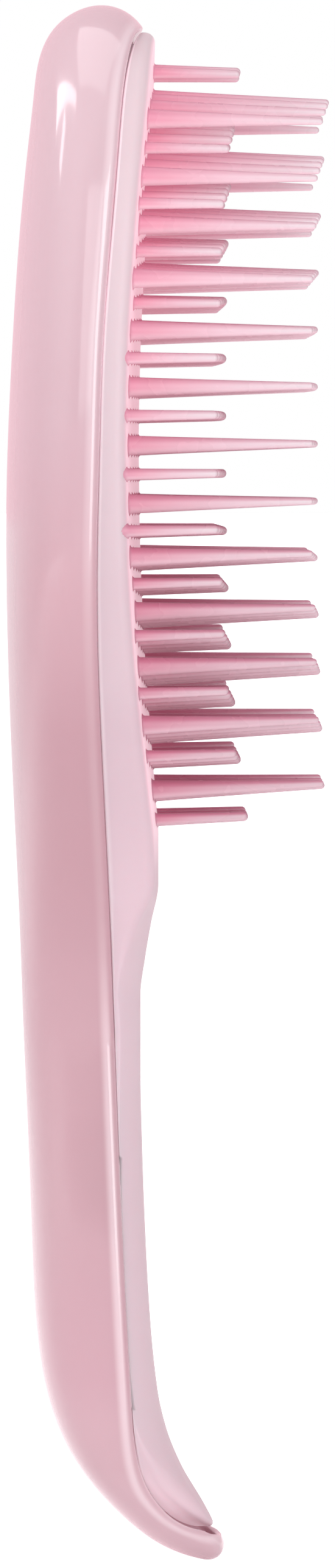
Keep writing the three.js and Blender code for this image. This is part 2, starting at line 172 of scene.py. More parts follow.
INSERT_STEP = 0.5                 # how far the insert stands in from the shell's rim
INSERT_HALF_WIDTH = INSERT_HIGH[1]
INSERT_TOP_Z = INSERT_HIGH[2]
INSERT_END_Z = INSERT_LOW[2]
INSERT_ROUNDNESS = 2.55
INSERT_SKIN = 2.2
INSERT_WALL = 2.6
SEAM_GAP = 0.04
TONGUE_INSET = 1.6
TONGUE_DEPTH = 2.2
SHOULDER_RADIUS = 0.3             # round edge of the insert next to the seam
SHOULDER_SHARE_OF_DEPTH = 0.25    # most of the insert's depth that each round edge may take
FRONT_EDGE_SHARE_OF_DEPTH = 0.7
FRONT_EDGE_RADII = [(-71, 0.5), (-68, 1.6), (-62, 2.6), (-50, 2.6), (6, 2.4), (24, 1.8), (145, 1.8)]

# Middle line of the insert's front: (z, x).
FRONT_LINE = [
    (-71.2, 10.9), (-67.8, 8.85), (-62.6, 5.8), (-57.3, 3.7), (-52, 2.5), (-41.4, 1.4), (-25.5, 0.55),
    (-15, 0.2), (-6, 0), (6, 0), (11.5, 0.7), (16.7, 1.6), (22, 2.6), (29, 2.6), (34, 2.25),
    (45, 1.4), (57, 0.55), (70, 0), (86, -0.25), (99, 0), (111, 0.55), (123, 1.2), (135, 1.85),
    (143.5, 2.1),
]
LAND_HALF_WIDTH = 5.5             # flat thumb land
HANDLE_CROWN = 2.9
PAD_CROWN = 1.7
PAD_CROWN_AT = 33.0
HANDLE_CROWN_TO_Z = 6.0           # between these heights the handle's crown turns into the pad's
PAD_CROWN_FROM_Z = 24.0
PAD_EDGE_DROP = 1.5               # lowest ground for a tooth, measured down from front_surface

# Each tier of teeth: radius at the root and at the tip, radius of the fillet round the root,
# height above the pad at which a tooth is free to follow its column, and sides.
TIERS = {
    "long": {"root": 1.4, "tip": 0.5, "fillet": 0.35, "free": 7.5, "sides": 18},
    "short": {"root": 0.85, "tip": 0.62, "fillet": 0.3, "free": 5.0, "sides": 16},
}
ROOT_EMBED = 0.3
LEAST_FILLET = 0.25
FILLET_TO_EDGE = 0.15             # distance kept between a fillet and the edge of the insert
TAPER_POWER = 0.92                # 1 makes a straight cone
WEB_REACH = 0.5                   # the CAD's root webs stay within this of a column's middle

# Per-point attributes that the materials read, as distances from the seam or shares of the way; they
# place painted highlights, glow and shade.
ROLL_HIGHLIGHT_IN = (0.35, 1.0)       # the painted highlight on the roll comes and goes over these distances
ROLL_HIGHLIGHT_OUT = (1.2, 2.3)
GROOVE_FROM_STEP = 4              # step of the roll from which it counts as inside the groove
GROOVE_SHARES = (0.25, 0.8)
WALL_SHARE = 0.7                  # share of front_share that the insert's side wall takes

# ---- fineness of the meshes ------------------------------------------------------------------

SEAM_SAMPLES = 3000
OUTLINE_SAMPLES = 6000
RIM_HALVINGS = 14                 # steps that close in on the place where the seam leaves the body
GRAZING = 1e-3                    # least slant at which a ray counts as hitting the body
ROW_CROWDING = 1.15               # above 1 the shell's rows are closer together near the seam
SHOULDER_STEPS = 4
UNDERSIDE_SHARES = (0.35, 0.7)    # rows on the insert's underside, as shares of its half-width
FILLET_STEPS = 5
TAPER_STEPS = 7
TIP_STEPS = 5

# ---- curves ----------------------------------------------------------------------------------


def smooth_step(low, high, at):
    t = np.clip((np.asarray(at, float) - low) / (high - low), 0, 1)
    return t * t * (3 - 2 * t)


def profile(stations):
    """Smooth function through (position, value) stations, with no overshoot between them."""
    at, value = np.array(stations, float).T
    slope = np.diff(value) / np.diff(at)
    before, after = slope[:-1], slope[1:]
    rising = before * after > 0
    total = np.where(rising, before + after, 1)
    inner = np.where(rising, 2 * before * after / total, 0)
    tangent = np.concatenate([slope[:1], inner, slope[-1:]])

    def evaluate(where):
        where = np.clip(where, at[0], at[-1])
        i = np.clip(np.searchsorted(at, where, side="right") - 1, 0, len(at) - 2)
        span = at[i + 1] - at[i]
        t = (where - at[i]) / span
        rise = 3 * t**2 - 2 * t**3
        return (
            value[i] * (1 - rise) + value[i + 1] * rise
            + span * (tangent[i] * t * (1 - t) ** 2 - tangent[i + 1] * t**2 * (1 - t))
        )

    return evaluate


def spline(knots, points):
    """Curve through points at rising knots, whose slope and curvature have no jumps."""
    knots, points = np.asarray(knots, float), np.asarray(points, float)
    if points.ndim == 1:
        points = points[:, None]
    span = np.diff(knots)
    system, pull = np.eye(len(knots)), np.zeros(points.shape)
    slope = np.diff(points, axis=0) / span[:, None]
    for i in range(1, len(knots) - 1):
        system[i, i - 1:i + 2] = span[i - 1], 2 * (span[i - 1] + span[i]), span[i]
        pull[i] = 6 * (slope[i] - slope[i - 1])
    bend = np.linalg.solve(system, pull)

    def evaluate(where):
        where = np.asarray(where, float)
        i = np.clip(np.searchsorted(knots, where) - 1, 0, len(span) - 1)
        h = span[i][..., None]
        a = (knots[i + 1] - where)[..., None] / h
        b = 1 - a
        curve = a * points[i] + b * points[i + 1]
        return curve + ((a**3 - a) * bend[i] + (b**3 - b) * bend[i + 1]) * h**2 / 6

    return evaluate


def chord_lengths(points):
    steps = np.linalg.norm(np.diff(np.asarray(points, float), axis=0), axis=1)
    return np.concatenate([[0], np.cumsum(steps)])


def resample(points, count):
    """The same polyline with count points, evenly spaced along it."""
    length = chord_lengths(points)
    even = np.linspace(0, length[-1], count)
    return np.stack([np.interp(even, length, column) for column in np.asarray(points).T], axis=1)


def unit(vectors):
    size = np.linalg.norm(vectors, axis=-1, keepdims=True)
    return vectors / np.maximum(size, 1e-12)


body_half_width = profile(BODY_HALF_WIDTHS)
front_line = profile(FRONT_LINE)
front_edge_radius = profile(FRONT_EDGE_RADII)


def super_outline(half, reach, power, distance):
    """Half-width of a rounded end, from half at no distance to nothing at its full reach."""
    share = np.clip(distance / reach, 0, 1)
    return half * (1 - share**power) ** (1 / power)


def outline_half_width(z, scale, step, half, top, end, roundness):
    """Half-width over z of an outline that stands in from the body's sides by a step."""
    sides = scale * body_half_width(z) - step
    head = super_outline(half, top - HEAD_WIDEST_Z, roundness, z - HEAD_WIDEST_Z)
    foot_half = scale * HANDLE_END_HALF_WIDTH - step
    foot = super_outline(foot_half, HANDLE_END_Z - end, FOOT_ROUNDNESS, HANDLE_END_Z - z)
    return np.where(z > HEAD_WIDEST_Z, head, np.where(z < HANDLE_END_Z, foot, sides))


def shell_half_width(z):
    return outline_half_width(
        z, scale=1, step=0, half=HEAD_HALF_WIDTH, top=HEAD_TOP_Z, end=TIP_Z, roundness=HEAD_ROUNDNESS
    )


def insert_half_width(z):
    scale = (INSERT_HALF_WIDTH + INSERT_STEP) / HEAD_HALF_WIDTH
    return outline_half_width(
        z, scale=scale, step=INSERT_STEP, half=INSERT_HALF_WIDTH,
        top=INSERT_TOP_Z, end=INSERT_END_Z, roundness=INSERT_ROUNDNESS,
    )


LAND_EDGE = float(insert_half_width(np.array(0.0))) - LAND_HALF_WIDTH


def front_surface(y, z):
    """Front of the insert: x over (y, z)."""
    head = smooth_step(HANDLE_CROWN_TO_Z, PAD_CROWN_FROM_Z, z)
    pad = PAD_CROWN * (y / PAD_CROWN_AT) ** 2
    handle = HANDLE_CROWN * (np.maximum(0, np.abs(y) - LAND_HALF_WIDTH) / LAND_EDGE) ** 2
    return front_line(z) - head * pad - (1 - head) * handle


def seam_curve():
    """Points (x, z) along the seam, dense and smooth, run on past both ends."""
    first, last = np.array(SEAM[0]), np.array(SEAM[-1])
    ends = [first + SEAM_END_REACH, *SEAM, last + SEAM_TOP_REACH]
    length = chord_lengths(ends)
    return spline(length, ends)(np.linspace(0, length[-1], SEAM_SAMPLES))


seam_points = seam_curve()


def seam_x(z):
    rising = seam_points[seam_points[:, 1].argmin():]
    return np.interp(z, rising[:, 1], rising[:, 0])


def seam_lean(z, reach):
    """Slope of the seam, x over z, taken from reach below to reach above."""
    return (seam_x(z + reach) - seam_x(z - reach)) / (2 * reach)


# ---- meshes ----------------------------------------------------------------------------------


def add_piece(name, points, faces, material, values):
    """A smooth closed mesh in metres from points in millimetres; values are per-point attributes."""
    mesh = bpy.data.meshes.new(name)
    mesh.from_pydata((np.asarray(points) * MM).tolist(), [], faces)
    for key, numbers in values.items():
        layer = mesh.attributes.new(key, "FLOAT", "POINT")
        layer.data.foreach_set("value", np.asarray(numbers, np.float32).ravel())
    work = bmesh.new()
    work.from_mesh(mesh)
    bmesh.ops.remove_doubles(work, verts=work.verts, dist=1e-6)
    bmesh.ops.dissolve_degenerate(work, edges=work.edges, dist=1e-8)
    bmesh.ops.recalc_face_normals(work, faces=work.faces)
    work.to_mesh(mesh)
    work.free()
    mesh.shade_smooth()
    mesh.materials.append(material)
    piece = bpy.data.objects.new(name, mesh)
    bpy.context.scene.collection.objects.link(piece)
    return piece


def ring_faces(rings, count):
    """Quads between neighbouring closed rings of count points each."""
    faces = []
    for r in range(rings - 1):
        for i in range(count):
            j = (i + 1) % count
            faces.append((r * count + i, r * count + j, (r + 1) * count + j, (r + 1) * count + i))
    return faces


def both_sides(half):
    """Closed rings from half rings on the +Y side whose first and last points are on y = 0."""
    mirrored = half[:, ::-1] * [1, -1, 1]
    return np.concatenate([half, mirrored], axis=1)


# ---- back shell ------------------------------------------------------------------------------


def shell_body(sections, around):
    """Points of the shell's whole rounded body, before its front is cut off at the seam."""
    backs = [back for back, _, _ in SHELL_STATIONS]
    fronts = [front for _, _, front in SHELL_STATIONS]
    loop = np.array([SHELL_TIP, *backs, SHELL_TOP, *fronts[::-1]], float)
    lap = 6
    wrapped = np.concatenate([loop[-lap:], loop, loop[:lap]])
    length = chord_lengths(wrapped)
    silhouette = spline(length, wrapped)
    tip, top = length[lap], length[lap + len(backs) + 1]
    whole = length[lap + len(loop)] - tip
    back_at = length[lap + 1:lap + 1 + len(backs)]
    front_at = length[lap + len(backs) + 2:lap + len(loop)][::-1] - whole
    station = np.arange(len(backs) + 2)
    back_length = spline(station, [tip, *back_at, top])
    front_length = spline(station, [tip, *front_at, top - whole])
    shares = []
    for back, widest, front in np.array(SHELL_STATIONS, float):
        chord = front - back
        shares.append((widest - back) @ chord / (chord @ chord))
    widest_share = spline(station, [shares[0], *shares, shares[-1]])

    s = np.linspace(0, len(backs) + 1, sections)
    back = silhouette(back_length(s)[:, 0])
    wrap = front_length(s)[:, 0]
    front = silhouette(np.where(wrap < length[0], wrap + whole, wrap))
    share = widest_share(s)
    chord = front - back
    widest = back + chord * share
    half = shell_half_width(widest[:, 1])
    angle = np.linspace(0, 2 * np.pi, around, endpoint=False)
    cos, sin = np.cos(angle), np.sin(angle)
    along = cos * (1 + SECTION_FULLNESS * sin**2) * (0.5 + (0.5 - share) * cos)
    across = sin * (1 + SECTION_FULLNESS * cos**2)
    points = np.empty((sections, around, 3))
    points[..., 0] = widest[:, :1] + along * chord[:, :1]
    points[..., 2] = widest[:, 1:] + along * chord[:, 1:]
    points[..., 1] = half[:, None] * across
    return points


def body_tree():
    """The whole body as a tree that rays can be cast at."""
    points = shell_body(sections=560, around=256)
    faces = ring_faces(*points.shape[:2])
    return BVHTree.FromPolygons([Vector(p) for p in points.reshape(-1, 3)], faces)


def cast(tree, origin, direction):
    hit, normal, _, _ = tree.ray_cast(Vector(origin), Vector(direction))
    return hit, normal


def rim_line(tree):
    """Where the seam leaves the body on the +Y side, from the tip's middle to the top's middle."""

    def inside(point):
        hit, normal = cast(tree, (point[0], 0, point[1]), ACROSS)
        return hit if hit is not None and normal.y * hit.y > 0 and abs(normal.y) > GRAZING else None

    hits = [inside(point) for point in seam_points]
    kept = [i for i, hit in enumerate(hits) if hit is not None]
    first, last = kept[0], kept[-1]

    def edge(i_in, i_out):
        near, far = seam_points[i_in], seam_points[i_out]
        extra = []
        for _ in range(RIM_HALVINGS):
            middle = (near + far) / 2
            hit = inside(middle)
            if hit is None:
                far = middle
            else:
                near = middle
                extra.append(np.array(hit))
        extra.append(np.array([near[0], 0, near[1]]))
        return extra

    start = edge(first, first - 1)[::-1]
    end = edge(last, last + 1)
    middle = [np.array(hits[i]) for i in range(first, last + 1)]
    return np.array([*start, *middle, *end])


def corner_angles(tree, rim, centre):
    """Angle between the shell's outside and the seam at each point of the rim."""
    along = unit(np.gradient(rim, axis=0))
    along[0] = along[-1] = ACROSS
    lean = seam_lean(rim[:, 2], 0.2)
    seam_normal = unit(np.stack([-np.ones(len(rim)), np.zeros(len(rim)), lean], axis=1))
    inward = unit(np.cross(seam_normal, along))
    inward *= np.sign((inward * (centre - rim)).sum(axis=1, keepdims=True))
    corner = np.empty(len(rim))
    for u, point in enumerate(rim):
        _, normal, _, _ = tree.find_nearest(Vector(point))
        backward = unit(np.cross(np.array(normal), along[u]))
        backward *= np.sign(backward @ seam_normal[u])
        corner[u] = math.acos(max(-1.0, min(1.0, float(inward[u] @ backward))))
    return np.clip(corner, SHARPEST_CORNER, BLUNTEST_CORNER)


def shell_wall(z):
    thick = smooth_step(TIP_WALL_TO_Z, FULL_WALL_FROM_Z, z)
    return SHELL_TIP_WALL + (SHELL_WALL - SHELL_TIP_WALL) * thick


def back_shell_rings(lengthwise=420, rows=64, bead_steps=7):
    """Closed rings round the shell's wall, and each point's share of the painted highlight on the roll
    and the painted glow in the groove.
    """
    tree = body_tree()
    rim = resample(rim_line(tree), lengthwise)
    centre_z = np.clip(rim[:, 2], FAN_LOW_Z, FAN_HIGH_Z)
    centre_x = seam_x(centre_z)
    lean = seam_lean(centre_z, 0.5)
    centre = np.stack([centre_x, np.zeros(lengthwise), centre_z], axis=1)
    to_rim = unit(rim - centre)
    to_back = unit(np.stack([-np.ones(lengthwise), np.zeros(lengthwise), lean], axis=1))
    reach = np.linalg.norm(rim - centre, axis=1)
    turn = np.arccos(np.clip((to_rim * to_back).sum(axis=1), -1, 1))
    round_to = np.where(rim[:, 2] > 0, RIM_ROUND_TO, RIM_ROUND_TO_ON_HANDLE)
    grown = smooth_step(RIM_ROUND_FROM, round_to, rim[:, 1])
    radius = RIM_END_RADIUS + (RIM_RADIUS - RIM_END_RADIUS) * grown
    most_setback = RIM_END_SETBACK + (RIM_SETBACK - RIM_END_SETBACK) * grown
    corner = corner_angles(tree, rim, centre)
    radius = np.minimum(radius, most_setback * np.tan(corner / 2))
    radius = np.minimum(radius, RIM_SHARE_OF_WALL * shell_wall(rim[:, 2]))
    setback = radius / np.tan(corner / 2)

    points = np.zeros((lengthwise, rows + 1, 3))
    spine_normal = np.zeros((lengthwise, 3))
    for u in range(lengthwise):
        start = setback[u] / reach[u]
        for j in range(rows + 1):
            at = start + (turn[u] - start) * (j / rows) ** ROW_CROWDING
            direction = (
                math.sin(turn[u] - at) * to_rim[u] + math.sin(at) * to_back[u]
            ) / math.sin(turn[u])
            hit, normal = cast(tree, centre[u], direction)
            points[u, j] = hit
        outward = np.array([normal.x, 0, normal.z])
        spine_normal[u] = unit(outward * np.sign(outward @ to_back[u]))
    points[0, :, 1] = points[-1, :, 1] = 0
    points[:, rows, 1] = 0

    flip = np.array([1, -1, 1])
    padded = np.concatenate([points[1:2] * flip, points, points[-2:-1] * flip])
    step_u = padded[2:] - padded[:-2]
    before_rim = 2 * points[:, :1] - points[:, 1:2]
    padded = np.concatenate([before_rim, points, points[:, -2:-1] * flip], axis=1)
    step_v = padded[:, 2:] - padded[:, :-2]
    normal = unit(np.cross(step_u, step_v))
    facing = np.sign((normal * (points - centre[:, None])).sum(axis=-1, keepdims=True))
    normal *= np.where(facing == 0, 1, facing)
    normal[:, rows] = spine_normal
    normal[0, :, 1] = normal[-1, :, 1] = 0
    normal = unit(normal)

    wall = shell_wall(points[..., 2])
    inner = points - wall[..., None] * normal
    out = normal[:, 0]
    forward = unit(-step_v[:, 0])
    column = radius[:, None]
    bead_centre = points[:, 0] - column * out
    bead = []
    for k in range(1, bead_steps + 1):
        angle = ((math.pi - corner) * k / bead_steps)[:, None]
        bead.append(bead_centre + column * (np.cos(angle) * out + np.sin(angle) * forward))
    inward = -np.cos(corner)[:, None] * forward - np.sin(corner)[:, None] * out
    land_width = np.maximum(LEAST_LAND, wall[:, 0] / np.sin(corner) - setback)
    land = bead[-1] + inward * land_width[:, None] * LAND_SHARE
    half = np.concatenate(
        [points[:, ::-1], np.stack(bead, axis=1), land[:, None], inner], axis=1
    )
    half[0, :, 1] = half[-1, :, 1] = 0
    from_edge = np.linalg.norm(half - rim[:, None], axis=-1)
    on_roll = smooth_step(*ROLL_HIGHLIGHT_IN, from_edge) * (1 - smooth_step(*ROLL_HIGHLIGHT_OUT, from_edge))
    on_roll[:, rows + 1 + bead_steps:] = 0
    in_groove = np.zeros(on_roll.shape)
    groove_shares = np.linspace(*GROOVE_SHARES, bead_steps - GROOVE_FROM_STEP)
    in_groove[:, rows + GROOVE_FROM_STEP:rows + bead_steps] = grown[:, None] * groove_shares
    in_groove[:, rows + bead_steps:rows + bead_steps + 2] = grown[:, None]
    on_roll = np.concatenate([on_roll, on_roll[:, ::-1]], axis=1)
    in_groove = np.concatenate([in_groove, in_groove[:, ::-1]], axis=1)
    return both_sides(half), on_roll, in_groove


# ---- front insert ----------------------------------------------------------------------------


def insert_outline(count):
    """Points (y, z) and outward normals of the insert's outline on the +Y side, end to top."""
    rise = (1 - np.cos(np.linspace(0, np.pi, OUTLINE_SAMPLES))) / 2
    z = INSERT_END_Z + (INSERT_TOP_Z - INSERT_END_Z) * rise
    points = resample(np.stack([insert_half_width(z), z], axis=1), count)
    points[0, 0] = points[-1, 0] = 0
    tangent = np.gradient(points, axis=0)
    tangent[0] = tangent[-1] = 1, 0
    normal = unit(np.stack([tangent[:, 1], -tangent[:, 0]], axis=1))
    normal[0], normal[-1] = (0, -1), (0, 1)
    return points, normal


def front_insert_rings(lengthwise=460, wall_rows=8, edge_steps=8, front_rows=20):
    """Closed rings round the insert, and how far each point is from the seam to the front."""
    outline, normal = insert_outline(lengthwise)

    def inset(distance):
        return outline - np.asarray(distance)[..., None] * normal

    def loop(x, distance):
        yz = inset(distance)
        return np.stack([x + np.zeros(lengthwise), np.maximum(yz[:, 0], 0), yz[:, 1]], axis=1)

    seam = seam_x(outline[:, 1]) + SEAM_GAP
    depth = front_surface(outline[:, 0], outline[:, 1]) - seam
    radius = np.minimum(front_edge_radius(outline[:, 1]), FRONT_EDGE_SHARE_OF_DEPTH * depth)
    shoulder = np.minimum(SHOULDER_RADIUS, SHOULDER_SHARE_OF_DEPTH * depth)
    nudge = 0.3
    deep, deeper = inset(radius), inset(radius + nudge)
    climb = (front_surface(*deeper.T) - front_surface(*deep.T)) / nudge
    slope = np.arctan(climb)
    edge_inset = radius * (1 - np.sin(slope))
    front_edge = inset(edge_inset)
    front_x = front_surface(*front_edge.T)
    wall_x = front_x - radius * np.cos(slope)

    under = inset(INSERT_WALL)
    under_x = front_surface(np.maximum(under[:, 0], 0), under[:, 1]) - INSERT_SKIN
    spine_x = front_surface(0 * under[:, 0], under[:, 1]) - INSERT_SKIN
    loops = [np.stack([spine_x, 0 * spine_x, under[:, 1]], axis=1)]
    for part in UNDERSIDE_SHARES:
        y = np.maximum(under[:, 0], 0) * part
        loops.append(np.stack([front_surface(y, under[:, 1]) - INSERT_SKIN, y, under[:, 1]], axis=1))
    loops.append(loop(under_x, INSERT_WALL))
    loops.append(loop(seam - TONGUE_DEPTH, INSERT_WALL))
    loops.append(loop(seam - TONGUE_DEPTH, TONGUE_INSET))
    loops.append(loop(seam, TONGUE_INSET))
    share = [0.0] * len(loops)
    for k in range(SHOULDER_STEPS + 1):
        angle = 0.5 * math.pi * k / SHOULDER_STEPS
        loops.append(loop(seam + shoulder * (1 - math.cos(angle)), shoulder * (1 - math.sin(angle))))
        share.append(0.0)
    for k in range(1, wall_rows + 1):
        part = k / wall_rows
        loops.append(loop((1 - part) * (seam + shoulder) + part * wall_x, 0))
        share.append(WALL_SHARE * part)
    for k in range(1, edge_steps + 1):
        angle = (0.5 * math.pi - slope) * k / edge_steps
        loops.append(loop(wall_x + radius * np.sin(angle), radius * (1 - np.cos(angle))))
        share.append(WALL_SHARE + (1 - WALL_SHARE) * k / edge_steps)
    for k in range(1, front_rows + 1):
        y = np.maximum(front_edge[:, 0], 0) * (1 - k / front_rows)
        loops.append(np.stack([front_surface(y, front_edge[:, 1]), y, front_edge[:, 1]], axis=1))
        share.append(1.0)
    half = np.stack(loops, axis=1)
    half[0, :, 1] = half[-1, :, 1] = 0
    rings = both_sides(half)
    share = np.tile(np.array(share + share[::-1]), (lengthwise, 1))
    return rings, share


# ---- teeth -----------------------------------------------------------------------------------


def grouped(points, gap=3.0):
    """Points sorted by height, split wherever the height jumps by more than the gap."""
    points = points[points[:, 2].argsort()]
    breaks = np.flatnonzero(np.diff(points[:, 2]) > gap) + 1
    return np.split(points, breaks)


def tooth_axes(node):
    """Root and tip (x, y, z) of every tooth of a CAD column, read from its mesh."""
    points = np.array([v.co for v in frame["nodes"][node].data.vertices], float) / MM
    low, high = points.min(axis=0), points.max(axis=0)
    halfway = (low[0] + high[0]) / 2
    off_web = np.abs(points[:, 1] - (low[1] + high[1]) / 2) > WEB_REACH
    feet = grouped(points[off_web & (points[:, 0] < halfway)])
    tips = grouped(points[points[:, 0] > halfway])
    axes = []
    for foot, tip in zip(feet, tips):
        root = (foot.min(axis=0) + foot.max(axis=0)) / 2
        axes.append((root, tip[tip[:, 0].argmax()]))
    return axes


class Pad:
    """Height of the insert's front over (y, z), read from the finished insert."""

    def __init__(self, insert):
        mesh = insert.data
        points = [v.co / MM for v in mesh.vertices]
        self.tree = BVHTree.FromPolygons(points, [list(p.vertices) for p in mesh.polygons])

    def height(self, y, z):
        past_tips = 60
        hit, _ = cast(self.tree, (past_tips, y, z), (-1, 0, 0))
        lowest = float(front_surface(np.array(y), np.array(z))) - PAD_EDGE_DROP
        return lowest if hit is None else max(hit.x, lowest)


def tooth_mesh(pad, tier, root, tip):
    """Rings of one tooth, from under the pad to its tip, and each ring's share of the height."""
    around = np.linspace(0, 2 * np.pi, tier["sides"], endpoint=False)
    drift = (tip - root)[1:] / (tip - root)[0]
    base = pad.height(root[1], root[2])
    length = tip[0] - base
    rings, shares = [], []

    def add(height, radius, follow):
        centre = root[1:] + drift * (base + height - root[0])
        y, z = centre[0] + radius * np.cos(around), centre[1] + radius * np.sin(around)
        ground = np.full(len(around), base)
        if follow > 0:
            local = np.array([pad.height(a, b) for a, b in zip(y, z)])
            ground += follow * (local - base)
        rings.append(np.stack([ground + height, y, z], axis=1))
        shares.append(height / length)

    foot, end = tier["root"], tier["tip"]
    to_edge = float(insert_half_width(np.array(root[2]))) - abs(root[1])
    fillet = min(tier["fillet"], max(LEAST_FILLET, to_edge - foot - FILLET_TO_EDGE))
    add(-ROOT_EMBED, foot + fillet, 1)
    for k in range(FILLET_STEPS + 1):
        angle = 0.5 * math.pi * k / FILLET_STEPS
        rise = 1 - math.cos(angle)
        add(fillet * rise, foot + fillet * (1 - math.sin(angle)), 1 - rise)
    straight = length - end
    for k in range(1, TAPER_STEPS + 1):
        part = k / TAPER_STEPS
        add(fillet + (straight - fillet) * part, foot + (end - foot) * part**TAPER_POWER, 0)
    for k in range(1, TIP_STEPS):
        angle = 0.5 * math.pi * k / TIP_STEPS
        add(straight + end * math.sin(angle), end * math.cos(angle), 0)
    centre = root[1:] + drift * (base + length - root[0])
    return np.stack(rings), np.array([base + length, *centre]), shares, base


def teeth_column(node, pad, tier, material):
    """All teeth of a CAD column as one piece, and the height of the pad under its highest root."""
    points, faces, rise, bases = [], [], [], []
    sides = tier["sides"]
    for root, tip in tooth_axes(node):
        rings, top, shares, base = tooth_mesh(pad, tier, root, tip)
        start = len(points)
        points.extend(rings.reshape(-1, 3))
        faces.extend([tuple(start + i for i in face) for face in ring_faces(len(rings), sides)])
        faces.append(tuple(start + i for i in range(sides)))
        last = start + (len(rings) - 1) * sides
        apex = len(points)
        points.append(top)
        faces.extend([(last + i, last + (i + 1) % sides, apex) for i in range(sides)])
        rise.extend(np.repeat(shares, sides))
        rise.append(1.0)
        bases.append(base)
    name = node.replace("_column", "")
    return add_piece(name, points, faces, material, {"rise": rise}), max(bases)


# ---- materials -------------------------------------------------------------------------------


class Nodes:
    """Short way to lay out the nodes of one material."""

    def __init__(self, name):
        self.material = bpy.data.materials.new(name)
        self.material.use_nodes = True
        self.tree = self.material.node_tree
        self.shader = self.tree.nodes["Principled BSDF"]

    @classmethod
    def of_tree(cls, tree):
        nodes = cls.__new__(cls)
        nodes.tree = tree
        return nodes

    def add(self, kind, **settings):
        node = self.tree.nodes.new(kind)
        for key, value in settings.items():
            setattr(node, key, value)
        return node

    def link(self, output, target):
        self.tree.links.new(output, target)

    def noise(self, scale, detail):
        place = self.add("ShaderNodeTexCoord")
        noise = self.add("ShaderNodeTexNoise")
        noise.inputs["Scale"].default_value = scale
        noise.inputs["Detail"].default_value = detail
        self.link(place.outputs["Object"], noise.inputs["Vector"])
        return noise.outputs["Fac"]

    def ramp(self, value, stops):
        """Colours over a value: (position, (red, green, blue)) stops."""
        ramp = self.add("ShaderNodeValToRGB")
        elements = ramp.color_ramp.elements
        while len(elements) < len(stops):
            elements.new(0.5)
        for element, (position, colour) in zip(elements, stops):
            element.position = position
            element.color = (*colour, 1)
        self.link(value, ramp.inputs["Fac"])
        return ramp.outputs["Color"]

    def between(self, value, low, high):
        """A value of 0 to 1 moved to the range low to high."""
        stretch = self.add("ShaderNodeMapRange")
        stretch.inputs["To Min"].default_value = low
        stretch.inputs["To Max"].default_value = high
        self.link(value, stretch.inputs["Value"])
        return stretch.outputs["Result"]

    def z_share(self, vector, low, high):
        """Z of a vector as 0 at low to 1 at high, eased at both ends."""
        split = self.add("ShaderNodeSeparateXYZ")
        self.link(vector, split.inputs["Vector"])
        stretch = self.add("ShaderNodeMapRange", interpolation_type="SMOOTHSTEP")
        stretch.inputs["From Min"].default_value = low
        stretch.inputs["From Max"].default_value = high
        self.link(split.outputs["Z"], stretch.inputs["Value"])
        return stretch.outputs["Result"]

    def height(self, low, high):
        """Height in the frame as 0 at low to 1 at high, in metres."""
        return self.z_share(self.add("ShaderNodeTexCoord").outputs["Object"], low, high)

    def attribute(self, name):
        return self.add("ShaderNodeAttribute", attribute_name=name).outputs["Fac"]

    def facing(self, blend):
        weight = self.add("ShaderNodeLayerWeight")
        weight.inputs["Blend"].default_value = blend
        return weight.outputs["Facing"]

    def upward(self, low, high):
        """How far a face looks up, as 0 at low to 1 at high of its normal's Z."""
        return self.z_share(self.add("ShaderNodeNewGeometry").outputs["Normal"], low, high)

    def times(self, first, second):
        product = self.add("ShaderNodeMath", operation="MULTIPLY")
        for socket, value in zip(product.inputs, (first, second)):
            if isinstance(value, (int, float)):
                socket.default_value = value
            else:
                self.link(value, socket)
        return product.outputs["Value"]

    def add_up(self, *values):
        total = values[0]
        for value in values[1:]:
            plus = self.add("ShaderNodeMath", operation="ADD")
            self.link(total, plus.inputs[0])
            self.link(value, plus.inputs[1])
            total = plus.outputs["Value"]
        return total

    def mix(self, share, first, second):
        mix = self.add("ShaderNodeMix", data_type="RGBA")
        for socket, value in (("Factor", share), ("A", first), ("B", second)):
            target = next(s for s in mix.inputs if s.name == socket and s.enabled)
            if isinstance(value, (int, float)):
                target.default_value = value
            elif isinstance(value, tuple):
                target.default_value = (*value, 1)
            else:
                self.link(value, target)
        return next(s for s in mix.outputs if s.enabled)

    def bump(self, height, strength, distance):
        bump = self.add("ShaderNodeBump")
        bump.inputs["Strength"].default_value = strength
        bump.inputs["Distance"].default_value = distance
        self.link(height, bump.inputs["Height"])
        self.link(bump.outputs["Normal"], self.shader.inputs["Normal"])

    def set(self, **values):
        """Values or links for the shader's sockets, with _ for each space in a socket's name."""
        for key, value in values.items():
            socket = self.shader.inputs[key.replace("_", " ")]
            if isinstance(value, tuple) and socket.type == "RGBA":
                socket.default_value = (*value[:3], 1)
            elif isinstance(value, (int, float, tuple)):
                socket.default_value = value
            else:
                self.link(value, socket)


def rgb(red, green, blue):
    """A colour of 0 to 255 steps, as seen, turned into the linear values of a shader."""
    parts = [c / 255 for c in (red, green, blue)]
    return tuple(c / 12.92 if c <= 0.04045 else ((c + 0.055) / 1.055) ** 2.4 for c in parts)


BLACK = (0.0, 0.0, 0.0)
WHITE = (1.0, 1.0, 1.0)
GLOW_HEIGHTS = (0.06, 0.12)       # metres over which the painted glow grows towards the head's top
